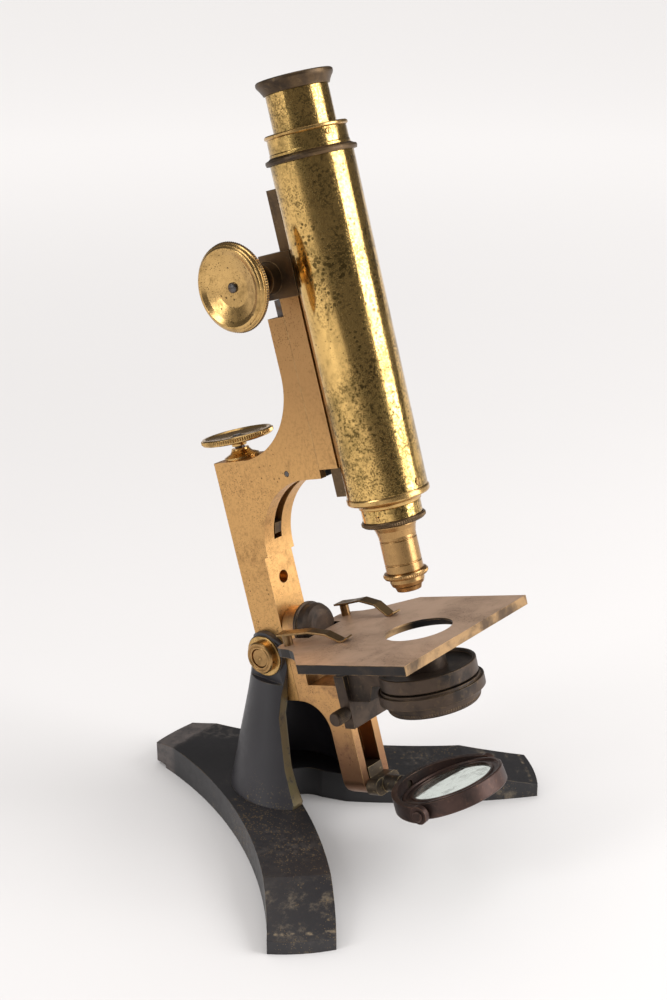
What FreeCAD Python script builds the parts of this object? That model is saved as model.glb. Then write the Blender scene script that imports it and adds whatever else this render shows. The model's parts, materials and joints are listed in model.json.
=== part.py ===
import FreeCAD, Part
import Sketcher
import math
import os

# Brass compound microscope on a three-toed iron foot, leaning back on its trunnion.
#
# World frame: millimetres, +Z up, +X towards the front edge of the stage, -Y the side with
# the capstan nut.  The origin is on the table, straight below the trunnion axis.
#
# Limb frame: everything above the pillar is drawn upright about the trunnion axis (X forward,
# Z up the tube) and then leaned back by "lean".  The optical axis is X = optical_x.

SIZES = {
    # stand
    "lean": 16.3, "trunnion_z": 88.3, "foot_top": 15.9, "toe_end_top": 7.0, "heel_end_top": 12.5,
    "toe_ridge": 95.8, "toe_end": 131.8, "toe_angle": 45.6, "heel_ridge": 63.8, "heel_end": 79.2,
    "heel_half": 14.2, "toe_out_x": 79.8, "toe_out_y": 106.3, "toe_in_x": 102.2, "toe_in_y": 84.4,
    "toe_outer_bend": 259.6, "toe_inner_bend": 318.6, "crotch_x": 27.0, "crotch_y": 18.0,
    "well_x": 14.0, "well_bend": 13.5,
    "pillar_wall": 4.5, "cheek_top": 12.2, "trunnion_boss": 11.0, "cheek_half": 13.4,
    "shoulder_z": 75.6,
    "limb_half": 10.0, "limb_gap": 0.15, "rear_wall_z": 77.0,
    # trunnion bolt
    "axle_radius": 5.0, "axle_fit": 0.05, "washer_radius": 10.5, "washer_in": 13.45,
    "washer_out": 14.4, "nut_radius": 8.2, "nut_face": 17.7,
    # limb
    "limb_back": 6.4, "limb_front": 12.6, "limb_foot": 25.0, "column_top": 99.0,
    "arm_back": 51.2, "arm_front": 61.3, "arm_top": 164.0, "arm_under": 86.8,
    "back_bend": 38.7, "belly_bend": 35.3, "belly_x": 50.1, "belly_z": 51.5, "back_bend_z": 138.5,
    "front_hole": 3.2, "front_hole_z": 37.0, "cavity_half": 2.8, "groove_half": 6.2,
    "groove_back": 53.6,
    # fine focus
    "fine_x": 4.1, "fine_radius": 17.8, "fine_screw": 2.4, "fine_tip_z": 68.4,
    "lever_x": 40.2, "lever_z": 90.5, "lever_half": 2.3, "pin_radius": 1.5,
    # guide block and pinion housing
    "guide_back": 61.4, "guide_front": 72.7, "guide_low": 91.0, "housing_low": 172.3,
    "housing_high": 193.0, "housing_back": 56.1, "housing_front": 75.4, "housing_half": 12.0,
    "bar_slot_half": 8.4, "bar_slot_back": 66.1, "rack_slot_half": 3.7, "rack_slot_back": 63.0,
    "tongue_half": 5.8, "tongue_back": 54.0, "tongue_low": 87.0, "tongue_high": 171.7,
    # coarse focus
    "pinion_x": 60.2, "pinion_z": 182.6, "pinion_pitch": 4.2, "pinion_teeth": 12,
    "shaft_radius": 3.2, "knob_radius": 20.2, "knob_face": 40.0, "knob_back": 35.0,
    "rack_tip": 63.9, "rack_root": 65.2, "rack_teeth": 64,
    "bar_back": 66.5, "bar_half": 8.0, "bar_low": 77.0, "bar_high": 220.8,
    # tubes
    "optical_x": 90.6, "tube_radius": 19.05, "tube_bore": 17.8, "tube_low": 76.7,
    "tube_high": 230.3, "draw_radius": 14.3, "draw_bore": 13.2, "draw_low": 150.0,
    "draw_high": 260.3, "draw_fit": 0.1, "ocular_radius": 13.1, "ocular_bore": 12.2,
    "nose_radius": 14.1, "thread_radius": 10.16, "objective_radius": 8.8,
    # stage
    "stage_top": 9.0, "stage_under": 4.4, "stage_front": 119.3, "stage_half": 48.8,
    "stage_hole": 16.3, "stage_hole_under": 20.0, "stage_back": 21.8, "swing_z": 11.3, "arbor_radius": 5.0,
    "clip_x": 27.2, "clip_y": 22.3, "clip_length": 35.0, "near_clip_turn": 10.0,
    "far_clip_turn": -3.0, "post_radius": 2.3,
    # tailpiece
    "tail_back": 12.8, "tail_arm": 21.2, "tail_bar": 29.6, "tail_front": 42.9, "tail_half": 10.0,
    "tail_low": 75.5, "tail_shelf": 16.5, "tail_slot_half": 5.5, "tail_slot_high": 10.0,
    "tail_slot_low": 69.5, "tail_slot_deep": 9.0,
    # substage
    "slider_low": 37.0, "slider_high": 10.2, "slider_half": 14.0, "slider_front": 49.2,
    "substage_radius": 23.5, "substage_top": 8.3, "substage_under": 15.5, "hub_radius": 9.7,
    "clamp_x": 46.1, "clamp_z": 28.9, "clamp_end": 23.4,
    # mirror
    "mirror_z": 70.8, "fork_outer": 30.0, "fork_inner": 27.2, "fork_half": 4.0,
    "frame_radius": 25.4, "frame_bore": 19.7, "frame_half": 4.15, "mirror_radius": 20.8,
    "swivel": 2.0, "mirror_tilt": 9.7,
}


class Size:
    """A length that carries its value and the spreadsheet formula it comes from."""

    def __init__(self, value, formula):
        self.value, self.formula = float(value), formula

    def __add__(self, other):
        other = as_size(other)
        return Size(self.value + other.value, "(%s + %s)" % (self.formula, other.formula))

    def __sub__(self, other):
        other = as_size(other)
        return Size(self.value - other.value, "(%s - %s)" % (self.formula, other.formula))

    def __mul__(self, factor):
        return Size(self.value * factor, "(%s * %s)" % (self.formula, factor))

    def __neg__(self):
        return Size(-self.value, "(-1 * %s)" % self.formula)


def as_size(number):
    return number if isinstance(number, Size) else Size(number, repr(float(number)))


V = FreeCAD.Vector
doc = FreeCAD.newDocument("Microscope")
sheet = doc.addObject("Spreadsheet::Sheet", "Dims")
for row, (name, number) in enumerate(SIZES.items(), start=1):
    sheet.set("A%d" % row, name.replace("_", " "))
    sheet.set("B%d" % row, str(number))
    sheet.setAlias("B%d" % row, name)
doc.recompute()
S = {name: Size(number, "Dims." + name) for name, number in SIZES.items()}
nodes = []


# ---------------------------------------------------------------- frames
def shift(x=0.0, y=0.0, z=0.0, axis=V(0, 0, 1), turn=0.0):
    return FreeCAD.Placement(V(*(as_size(n).value for n in (x, y, z))),
                             FreeCAD.Rotation(axis, as_size(turn).value))


STAND = FreeCAD.Placement()
LIMB = shift(z=S["trunnion_z"], axis=V(0, 1, 0), turn=-S["lean"])
OPTICAL = LIMB * shift(x=S["optical_x"])
NEAR, FAR, FORWARD = (V(1, 0, 0), 90), (V(1, 0, 0), -90), (V(0, 1, 0), 90)


def along(frame, direction, x=0.0, y=0.0, z=0.0):
    """A frame whose Z axis points near (-Y), far (+Y) or forward (+X)."""
    axis, turn = direction
    return frame * shift(x, y, z, axis, turn)


# ---------------------------------------------------------------- sketches
def plane_of(body, role):
    return next(item for item in body.Origin.OriginFeatures if item.Role == role + "_Plane")


def bind(thing, prop, number):
    """Give a property its value, tied to the spreadsheet when it comes from there."""
    number = as_size(number)
    if "Dims." in number.formula:
        thing.setExpression(prop, number.formula)
    else:
        setattr(thing, prop, number.value)


def fix(sketch, kind, refs, number):
    number = as_size(number)
    index = sketch.addConstraint(Sketcher.Constraint(kind, *refs, number.value))
    if "Dims." in number.formula:
        sketch.setExpression("Constraints[%d]" % index, number.formula)


def arc_between(start, stop, bend):
    """The short arc from start to stop; a positive bend has its centre on the left."""
    chord = stop - start
    left = V(-chord.y, chord.x, 0).normalize()
    rise = math.sqrt(max(bend * bend - chord.Length ** 2 / 4, 0.0))
    centre = (start + stop) * 0.5 + left * math.copysign(rise, bend)
    first, last = (start, stop) if bend > 0 else (stop, start)
    angles = [math.atan2(p.y - centre.y, p.x - centre.x) for p in (first, last)]
    if angles[1] < angles[0]:
        angles[1] += 2 * math.pi
    return Part.ArcOfCircle(Part.Circle(centre, V(0, 0, 1), abs(bend)), *angles)


def draw(sketch, outline):
    """A closed outline of corners (x, y), or (x, y, bend) where an arc leads to the corner."""
    corners = [V(as_size(c[0]).value, as_size(c[1]).value, 0) for c in outline]
    first = sketch.GeometryCount
    ends = []
    for i, corner in enumerate(outline):
        start, stop = corners[i - 1], corners[i]
        if len(corner) == 3:
            bend = as_size(corner[2])
            sketch.addGeometry(arc_between(start, stop, bend.value), False)
            ends.append((1, 2) if bend.value > 0 else (2, 1))
            fix(sketch, "Radius", (first + i,), bend if bend.value > 0 else -bend)
        else:
            sketch.addGeometry(Part.LineSegment(start, stop), False)
            ends.append((1, 2))
    for i, corner in enumerate(outline):
        after = (i + 1) % len(outline)
        sketch.addConstraint(Sketcher.Constraint("Coincident", first + i, ends[i][1],
                                                 first + after, ends[after][0]))
        fix(sketch, "DistanceX", (-1, 1, first + i, ends[i][1]), corner[0])
        fix(sketch, "DistanceY", (-1, 1, first + i, ends[i][1]), corner[1])


def ring(sketch, x, y, radius):
    centre = V(as_size(x).value, as_size(y).value, 0)
    index = sketch.addGeometry(Part.Circle(centre, V(0, 0, 1), as_size(radius).value), False)
    fix(sketch, "DistanceX", (-1, 1, index, 3), x)
    fix(sketch, "DistanceY", (-1, 1, index, 3), y)
    fix(sketch, "Radius", (index,), radius)


def new_sketch(body, role, offset=0.0, heading=0.0):
    """A sketch on an origin plane, moved along its normal or turned about its upright."""
    sketch = body.newObject("Sketcher::SketchObject", "Sketch")
    sketch.AttachmentSupport = [(plane_of(body, role), "")]
    sketch.MapMode = "FlatFace"
    sketch.AttachmentOffset = shift(0, 0, offset, V(0, 1, 0), heading)
    offset = as_size(offset)
    if "Dims." in offset.formula:
        sketch.setExpression("AttachmentOffset.Base.z", offset.formula)
    return sketch


def sketch_of(body, role, outlines=(), circles=(), offset=0.0, heading=0.0):
    sketch = new_sketch(body, role, offset, heading)
    for outline in outlines:
        draw(sketch, outline)
    for circle in circles:
        ring(sketch, *circle)
    return sketch


# ---------------------------------------------------------------- features
def new_body(label, frame, keep=True):
    body = doc.addObject("PartDesign::Body", label)
    body.Label = label
    body.Placement = frame
    if keep:
        nodes.append(body)
    return body


def extrude(body, role, length, outlines=(), circles=(), offset=0.0, heading=0.0,
            cut=False, both=True, back=False):
    """A Pad or a Pocket of a sketch; the volume shows that it did its work."""
    before = body.Shape.Volume if body.Tip else 0.0
    sketch = sketch_of(body, role, outlines, circles, offset, heading)
    feature = body.newObject("PartDesign::Pocket" if cut else "PartDesign::Pad", "Feature")
    feature.Profile = sketch
    bind(feature, "Length", length)
    feature.Midplane = both
    feature.Reversed = back
    doc.recompute()
    change = body.Shape.Volume - before
    if (change >= 0) if cut else (change <= 0):
        raise RuntimeError("%s: a feature changed nothing (%.3f)" % (body.Label, change))
    return feature


def revolve(body, outline, axis="V_Axis", cut=False):
    before = body.Shape.Volume if body.Tip else 0.0
    sketch = sketch_of(body, "XZ", [outline])
    feature = body.newObject("PartDesign::Groove" if cut else "PartDesign::Revolution", "Turned")
    feature.Profile = sketch
    feature.ReferenceAxis = (sketch, [axis])
    feature.Angle = 360
    doc.recompute()
    change = body.Shape.Volume - before
    if (change >= 0) if cut else (change <= 0):
        raise RuntimeError("%s: turning changed nothing (%.3f)" % (body.Label, change))
    return feature


def repeat(body, feature, kind, **settings):
    pattern = body.newObject("PartDesign::" + kind, kind)
    pattern.Originals = [feature]
    for name, setting in settings.items():
        if isinstance(setting, Size):
            bind(pattern, name, setting)
        else:
            setattr(pattern, name, setting)
    body.Tip = pattern
    doc.recompute()


def turned(label, frame, outline, keep=True):
    """A lathe-turned piece: outline of (radius, height along the frame's Z)."""
    body = new_body(label, frame, keep)
    revolve(body, outline)
    return body


def box(x0, x1, y0, y1):
    return [(x0, y0), (x1, y0), (x1, y1), (x0, y1)]


def flipped(outline):
    """The same outline on the other side of the sketch's upright, bends and all."""
    return [tuple(-as_size(n) if i != 1 else n for i, n in enumerate(corner)) for corner in outline]


def set_of(label, pieces):
    """Identical pieces that share one node."""
    group = doc.addObject("Part::Compound", label)
    group.Links = pieces
    group.Label = label
    nodes.append(group)
    return group


def pair(label, near):
    """A piece and its twin on the other side of the object's XZ plane."""
    twin = doc.addObject("Part::Mirroring", label + "_twin")
    twin.Source = near
    twin.Normal = V(0, 1, 0)
    return set_of(label, [near, twin])


# ================================================================ stand
def make_foot():
    """Flat three-toed casting: a heel and two curved front toes with sloped ends."""
    body = new_body("foot", STAND)
    outer, inner = S["toe_outer_bend"], S["toe_inner_bend"]
    outline = [
        (-S["heel_end"], -S["heel_half"], 80.0),
        (S["toe_out_x"], -S["toe_out_y"], -outer), (S["toe_in_x"], -S["toe_in_y"], 80.0),
        (S["crotch_x"], -S["crotch_y"], inner), (S["well_x"], -S["well_bend"]),
        (S["well_x"] - S["well_bend"], 0.0, -S["well_bend"]),
        (S["well_x"], S["well_bend"], -S["well_bend"]), (S["crotch_x"], S["crotch_y"]),
        (S["toe_in_x"], S["toe_in_y"], inner), (S["toe_out_x"], S["toe_out_y"], 80.0),
        (-S["heel_end"], S["heel_half"], -outer),
    ]
    extrude(body, "XY", S["foot_top"], [outline], both=False)
    over = S["foot_top"] + 4
    for heading, ridge, end, low in ((-S["toe_angle"], S["toe_ridge"], S["toe_end"], S["toe_end_top"]),
                                     (S["toe_angle"], S["toe_ridge"], S["toe_end"], S["toe_end_top"]),
                                     (180.0, S["heel_ridge"], S["heel_end"], S["heel_end_top"])):
        run = end.value - ridge.value
        beyond = 10.0 * (S["foot_top"].value - low.value) / run
        slope = [(ridge, S["foot_top"]), (end + 10, low - beyond), (end + 10, over), (ridge, over)]
        extrude(body, "XZ", 90.0, [slope], heading=heading, cut=True)
    # the heel stands on a shallow pad set in from its end
    extrude(body, "XZ", 60.0, [box(-S["heel_end"] - 5, -S["heel_end"] + 7.5, -1.0, 1.6)], cut=True)
    return body


# height, centre and radius of the pillar's outside at five levels
PILLAR = [(15.9, 7.4, 33.5), (28.0, 6.1, 29.6), (46.0, 4.3, 24.8), (64.0, 2.5, 19.8),
          (82.0, 0.7, 15.8), (103.0, 0.0, 14.2)]


def loft(body, kind, sections):
    sketches = [sketch_of(body, "XY", circles=[(x, 0.0, r)], offset=z) for z, x, r in sections]
    feature = body.newObject("PartDesign::" + kind, "Loft")
    feature.Profile = sketches[0]
    feature.Sections = sketches[1:]
    doc.recompute()
    return feature


def make_pillar():
    """Hollow half-round pillar, open in front, with two cheeks that hold the limb."""
    body = new_body("pillar", STAND)
    loft(body, "AdditiveLoft", PILLAR)
    high = S["trunnion_z"]
    extrude(body, "XZ", S["cheek_half"] * 2, circles=[(0.0, high, S["trunnion_boss"])])
    top = high + S["cheek_top"]
    front = [(27.8, 10.0), (27.8, 17.6), (24.4, 25.0), (20.4, 35.0), (16.2, 49.0), (12.9, 60.0),
             (11.9, 70.0), (S["cheek_top"] - 0.2, high), (0.0, top, S["cheek_top"]), (0.0, 140.0),
             (70.0, 140.0), (70.0, 10.0)]
    extrude(body, "XZ", 90.0, [front], cut=True)
    behind = [(-S["cheek_top"], high, S["cheek_top"]), (-60.0, high), (-60.0, 140.0), (0.0, 140.0),
              (0.0, top)]
    extrude(body, "XZ", 90.0, [behind], cut=True)
    wall = S["pillar_wall"]
    hollow = [(z, x, r - wall.value) for z, x, r in PILLAR[:-1]]
    hollow[0] = (12.0, PILLAR[0][1], hollow[0][2])
    loft(body, "SubtractiveLoft", hollow)
    slot = [(-60.0, S["rear_wall_z"]), (-9.0, S["rear_wall_z"]), (-9.0, 56.0), (60.0, 56.0),
            (60.0, 140.0), (-60.0, 140.0)]
    extrude(body, "XZ", (S["limb_half"] + S["limb_gap"]) * 2, [slot], cut=True)
    for near, far in ((-60.0, -S["cheek_half"]), (S["cheek_half"], 60.0)):
        extrude(body, "YZ", 200.0, [box(near, far, S["shoulder_z"], 140.0)], cut=True)
    extrude(body, "XZ", 60.0, circles=[(0.0, high, S["axle_radius"] + 0.1)], cut=True)
    return body


def make_trunnion():
    near = along(STAND, NEAR, z=S["trunnion_z"])
    axle, fit = S["axle_radius"], S["axle_fit"]
    turned("trunnion_bolt", near, [
        (0.0, -17.7), (7.4, -17.7), (S["nut_radius"], -17.0), (S["nut_radius"], -14.45),
        (axle, -14.45), (axle, 16.7), (axle - 0.6, 17.2), (1.2, 17.2), (0.0, 16.5)])
    nut = turned("trunnion_nut", near, [
        (axle + 0.02, S["washer_out"] + fit), (S["nut_radius"], S["washer_out"] + fit),
        (S["nut_radius"], 17.0), (7.6, S["nut_face"]), (6.7, S["nut_face"]), (6.5, 17.4),
        (6.1, 17.4), (5.9, S["nut_face"]), (axle + 0.02, S["nut_face"])])
    extrude(nut, "YZ", 6.0, circles=[(0.0, 16.1, 0.55)], offset=6.2, cut=True, both=False, back=True)
    washer = turned("trunnion_washer", near, [
        (axle + 0.02, S["washer_in"]), (S["washer_radius"], S["washer_in"]),
        (S["washer_radius"], S["washer_out"] - 0.2), (S["washer_radius"] - 0.3, S["washer_out"]),
        (axle + 0.02, S["washer_out"])], keep=False)
    pair("trunnion_washers", washer)


# ================================================================ limb
def make_limb():
    """Side profile with a concave belly and back, bored for the trunnion and the stage arbor."""
    body = new_body("limb", LIMB)
    back, front = -S["limb_back"], S["limb_front"]
    profile = [
        (back, S["column_top"]), (back, -15.0), (1.0, -S["limb_foot"]), (front, -S["limb_foot"]),
        (front, S["belly_z"] - 2), (S["belly_x"] - S["belly_bend"], S["belly_z"] - 2),
        (S["belly_x"] - S["belly_bend"], S["belly_z"]),
        (S["belly_x"], S["belly_z"] + S["belly_bend"], -S["belly_bend"]),
        (S["arm_front"], S["arm_under"]), (S["arm_front"], S["arm_top"]),
        (S["arm_back"], S["arm_top"]), (S["arm_back"], S["back_bend_z"]),
        (16.4, S["column_top"], -S["back_bend"]),
    ]
    extrude(body, "XZ", S["limb_half"] * 2, [profile])
    extrude(body, "XZ", 60.0, circles=[(0.0, 0.0, S["axle_radius"] + S["axle_fit"]),
                                       (S["lever_x"], S["lever_z"], S["pin_radius"] + 0.02)], cut=True)
    # slide groove, lever cavity, fine screw bore, arbor bore, blind hole above the stage
    groove = box(S["groove_back"], S["arm_front"] + 3, S["arm_under"] - 3, S["arm_top"] + 3)
    extrude(body, "XZ", S["groove_half"] * 2, [groove], cut=True)
    cavity = [(0.2, 57.0), (20.0, 57.0), (24.0, 66.0), (43.5, 84.5), (46.5, 90.0), (54.6, 90.0),
              (54.6, 98.5), (34.0, 98.5), (0.2, 66.0, 49.0)]
    extrude(body, "XZ", S["cavity_half"] * 2, [cavity], cut=True)
    extrude(body, "XY", 40.0, circles=[(S["fine_x"], 0.0, S["fine_screw"] + 0.2)],
            offset=S["column_top"], cut=True, both=False)
    extrude(body, "YZ", 7.8, circles=[(0.0, S["swing_z"], S["arbor_radius"] + 0.02),
                                      (0.0, S["front_hole_z"], S["front_hole"])],
            offset=front, cut=True, both=False)
    return body


def make_fine_focus():
    over = LIMB * shift(x=S["fine_x"], z=S["column_top"])
    r, stem = S["fine_radius"], S["fine_screw"]
    tip = S["fine_tip_z"] - S["column_top"]
    turned("fine_collar", over, [
        (stem + 0.05, 0.0), (8.7, 0.0), (8.7, 1.2), (7.8, 1.6), (5.6, 2.6), (4.6, 4.0), (4.3, 5.0),
        (stem + 0.05, 5.0)])
    turned("fine_knob", over, [
        (stem + 0.02, 6.1), (3.7, 6.1), (3.8, 7.1), (4.4, 8.1), (10.5, 8.5), (r - 1.2, 9.1),
        (r - 0.2, 9.5), (r, 10.1), (r, 11.9), (r - 0.5, 12.4), (r - 1.6, 12.4), (r - 2.6, 11.6),
        (9.0, 10.8), (4.6, 10.6), (3.4, 11.0), (stem + 0.02, 11.2)])
    turned("fine_screw", over, [
        (0.0, tip), (1.6, tip), (stem, tip + 1), (stem, 11.2), (1.8, 11.6), (0.0, 11.7)])
    lever = new_body("fine_lever", LIMB * shift(x=S["lever_x"], z=S["lever_z"]))
    shape = [(-38.3, -28.2), (-30.2, -30.5), (-24.3, -30.9), (-22.6, -25.7), (-27.6, -23.7),
             (-8.6, -3.0, -40.5), (-3.2, -3.7), (3.3, -3.1), (6.8, 1.1), (13.2, 1.8),
             (13.2, 5.8), (1.8, 5.3), (-32.5, -24.0, 45.0), (-38.3, -24.0)]
    extrude(lever, "XZ", S["lever_half"] * 2, [shape])
    extrude(lever, "XZ", 20.0, circles=[(0.0, 0.0, S["pin_radius"] + 0.05)], cut=True)
    pin = S["pin_radius"]
    turned("lever_pin", along(LIMB, NEAR, S["lever_x"], 0.0, S["lever_z"]), [
        (0.0, -9.6), (pin, -9.6), (pin, 9.7), (pin - 0.3, 10.0), (0.0, 10.0)])


def make_guide():
    """Block that slides on the limb and carries the tube bar and the pinion housing."""
    guide = new_body("guide_block", LIMB)
    channel = [box(S["bar_slot_back"], 90.0, -S["bar_slot_half"], S["bar_slot_half"])]
    inner = [box(S["rack_slot_back"], 90.0, -S["rack_slot_half"], S["rack_slot_half"])]
    half, low, high = S["limb_half"], S["guide_low"], S["housing_low"]
    extrude(guide, "XY", high - low, [box(S["guide_back"], S["guide_front"], -half, half)],
            offset=low, both=False)
    for outlines in (channel, inner):
        extrude(guide, "XY", 400.0, outlines, offset=low, cut=True)

    housing = new_body("pinion_housing", LIMB)
    half = S["housing_half"]
    extrude(housing, "XY", S["housing_high"] - high, [box(S["housing_back"], S["housing_front"], -half, half)],
            offset=high, both=False)
    extrude(housing, "XZ", half * 2 + 12, circles=[(S["pinion_x"], S["pinion_z"], 7.5)])
    extrude(housing, "XY", 400.0, circles=[(S["optical_x"], 0.0, S["tube_radius"] + 0.35)],
            offset=high, cut=True)
    for outlines in (channel, inner):
        extrude(housing, "XY", 400.0, outlines, offset=high, cut=True)
    extrude(housing, "XZ", 8.0, circles=[(S["pinion_x"], S["pinion_z"], 5.3)], cut=True)
    extrude(housing, "XZ", 80.0, circles=[(S["pinion_x"], S["pinion_z"], S["shaft_radius"] + 0.05)], cut=True)

    tongue = new_body("slide_tongue", LIMB)
    extrude(tongue, "XY", S["tongue_high"] - S["tongue_low"],
            [box(S["tongue_back"], S["guide_back"], -S["tongue_half"], S["tongue_half"])],
            offset=S["tongue_low"], both=False)


def make_coarse_focus():
    near = along(LIMB, NEAR, S["pinion_x"], 0.0, S["pinion_z"])
    shaft, pitch = S["shaft_radius"], S["pinion_pitch"]
    body = turned("pinion", near, [
        (0.0, -35.6), (shaft, -35.6), (shaft, -3.3), (pitch + 0.5, -3.3), (pitch + 0.5, 3.3),
        (shaft, 3.3), (shaft, 35.6), (0.0, 35.6)])
    step = 180.0 / SIZES["pinion_teeth"]
    gap = extrude(body, "XY", 6.6, [[(pitch - 0.8, -0.35), (pitch + 0.9, -1.2), (pitch + 0.9, 1.2),
                                     (pitch - 0.8, 0.35)]], cut=True)
    gap.Profile[0].AttachmentOffset = FreeCAD.Placement(V(0, 0, 0), FreeCAD.Rotation(V(0, 0, 1), step))
    doc.recompute()
    repeat(body, gap, "PolarPattern", Axis=(gap.Profile[0], ["N_Axis"]), Angle=360,
           Occurrences=SIZES["pinion_teeth"])

    r, face, back = S["knob_radius"], S["knob_face"], S["knob_back"]
    knob = turned("coarse_knob", near, [
        (shaft + 0.02, 19.0), (5.5, 19.0), (6.2, 20.0), (6.2, 31.0), (8.0, 34.0), (18.0, back),
        (r - 0.4, back), (r, back + 0.5), (r, back + 2.2), (r - 0.6, back + 2.5),
        (r - 0.6, back + 2.9), (r - 0.2, back + 3.2), (r - 0.9, back + 4.0), (r - 1.4, back + 4.1),
        (r - 1.4, back + 4.4), (18.5, face - 0.3), (18.1, face), (17.2, face), (15.0, face - 1.2),
        (9.0, face - 2.9), (5.0, face - 3.3), (1.3, face - 3.3), (1.3, 35.7), (shaft + 0.02, 35.7)],
        keep=False)
    pair("coarse_knobs", knob)
    screw = turned("knob_screw", near, [
        (0.0, 35.62), (1.25, 35.62), (1.25, 36.72), (2.4, 36.72), (2.4, 37.5), (1.9, 38.1),
        (0.9, 38.3), (0.0, 38.35)], keep=False)
    extrude(screw, "XY", 2.0, [box(-4.0, 4.0, -0.3, 0.3)], offset=37.8, cut=True, both=False, back=True)
    pair("knob_screws", screw)


# ================================================================ body tube
# bearing, seat radius, height and head radius of the slotted screw of the end ring, the
# nosepiece pin and the collar pin
TUBE_SCREWS = ((0.0, 18.9, 79.7, 1.9), (-80.6, 13.95, 66.7, 1.2), (-18.8, 17.95, 239.4, 1.4))


def drill(body, screw):
    """A radial hole for one of the tube's small screws."""
    bearing, _, height, head = screw
    extrude(body, "XZ", 25.0, circles=[(0.0, height, head * 0.6 + 0.05)], heading=bearing + 90.0,
            cut=True, both=False, back=True)


def make_tube():
    r, bore = S["tube_radius"], S["tube_bore"]
    low, high = S["tube_low"], S["tube_high"]
    tube = turned("main_tube", OPTICAL, [(bore, low), (r, low), (r, high), (bore, high)])
    drill(tube, TUBE_SCREWS[0])

    bar = new_body("slide_bar", LIMB)
    extrude(bar, "XY", S["bar_high"] - S["bar_low"],
            [box(S["bar_back"], 76.0, -S["bar_half"], S["bar_half"])], offset=S["bar_low"], both=False)
    extrude(bar, "XY", 600.0, circles=[(S["optical_x"], 0.0, r + 0.05)], offset=S["bar_low"], cut=True)

    rack = new_body("rack", LIMB * shift(z=S["pinion_z"]))
    pitch = S["pinion_pitch"] * (2 * math.pi / SIZES["pinion_teeth"])
    tip, root = S["rack_tip"], S["rack_root"]
    base = S["bar_low"] - S["pinion_z"]
    extrude(rack, "XZ", 6.0, [box(tip, S["bar_back"], base, S["bar_high"] - S["pinion_z"])])
    first = pitch * -47
    notch = [(tip - 0.2, first - 0.93), (root, first - 0.385), (root, first + 0.385),
             (tip - 0.2, first + 0.93)]
    gap = extrude(rack, "XZ", 8.0, [notch], cut=True)
    repeat(rack, gap, "LinearPattern", Direction=(gap.Profile[0], ["V_Axis"]),
           Length=pitch * (SIZES["rack_teeth"] - 1), Occurrences=SIZES["rack_teeth"])

    fit = S["draw_radius"] + S["draw_fit"]
    turned("collar_flare", OPTICAL, [
        (17.95, 230.35), (20.6, 230.35), (20.95, 231.5), (20.7, 232.4), (19.4, 232.9),
        (18.6, 233.45), (17.95, 233.45)])
    collar = turned("tube_collar", OPTICAL, [
        (fit, 222.0), (bore - 0.05, 222.0), (bore - 0.05, 230.32), (17.93, 230.32), (17.93, 233.5),
        (18.4, 233.5), (18.4, 234.6), (18.15, 235.0), (18.05, 241.4), (fit, 241.4)])
    drill(collar, TUBE_SCREWS[2])
    turned("collar_top_ring", OPTICAL, [
        (fit, 241.42), (18.2, 241.42), (18.95, 241.9), (18.95, 242.8), (18.4, 243.3), (fit, 243.3)])
    end = turned("tube_end_ring", OPTICAL, [
        (12.0, 70.6), (14.7, 70.6), (14.8, 71.2), (15.3, 72.2, -2.6), (17.6, 73.3), (19.0, 73.5),
        (19.5, 74.2), (19.5, 75.9), (19.1, 76.65), (bore - 0.05, 76.65), (bore - 0.05, 84.0),
        (12.0, 84.0)])
    drill(end, TUBE_SCREWS[0])
    thread = S["thread_radius"]
    nose = turned("nosepiece", OPTICAL, [
        (thread, 64.42), (S["nose_radius"], 64.42), (S["nose_radius"], 70.2),
        (S["nose_radius"] - 0.3, 70.58), (thread, 70.58)])
    drill(nose, TUBE_SCREWS[1])
    turned("nosepiece_ring", OPTICAL, [
        (thread, 61.8), (14.4, 61.8), (14.9, 62.3), (14.9, 63.8), (14.5, 64.4), (thread, 64.4)])


def make_objective():
    thread, r = S["thread_radius"] - 0.04, S["objective_radius"]
    turned("objective_barrel", OPTICAL, [
        (6.0, 38.4), (r, 38.4), (r, 42.0), (r - 0.3, 42.2), (r - 0.3, 42.6), (r, 42.8), (r, 53.4),
        (r - 0.3, 53.6), (r - 0.3, 54.0), (r, 54.2), (r, 55.5), (9.5, 58.6), (10.4, 60.6),
        (10.4, 61.75), (thread, 61.75), (thread, 68.5), (6.0, 68.5)])
    turned("objective_ring", OPTICAL, [
        (6.0, 35.25), (9.0, 35.25), (10.1, 35.6), (10.4, 36.3), (10.4, 37.5), (10.1, 38.1),
        (9.0, 38.38), (6.0, 38.38)])
    turned("objective_front", OPTICAL, [
        (4.85, 28.9), (5.8, 28.9), (6.5, 31.0), (7.5, 31.6), (8.2, 33.4), (8.2, 35.23), (4.85, 35.23)])
    turned("objective_lens", OPTICAL, [(0.0, 29.3), (4.8, 29.3), (4.8, 31.2), (0.0, 31.8)])


def make_tube_screws():
    screws = []
    for i, (bearing, radius, height, head) in enumerate(TUBE_SCREWS):
        frame = OPTICAL * shift(z=height, turn=bearing) * shift(x=radius, axis=V(0, 1, 0), turn=90)
        screw = turned("tube_screw_%d" % (i + 1), frame, [
            (0.0, -1.0), (head * 0.6, -1.0), (head * 0.6, 0.15), (head, 0.15), (head, 0.45),
            (head - 0.3, 0.7), (0.0, 0.7)], keep=False)
        extrude(screw, "XY", 1.0, [box(-3.0, 3.0, -0.2, 0.2)], offset=0.45, cut=True, both=False,
                back=True)
        screws.append(screw)
    set_of("tube_screws", screws)


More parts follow.
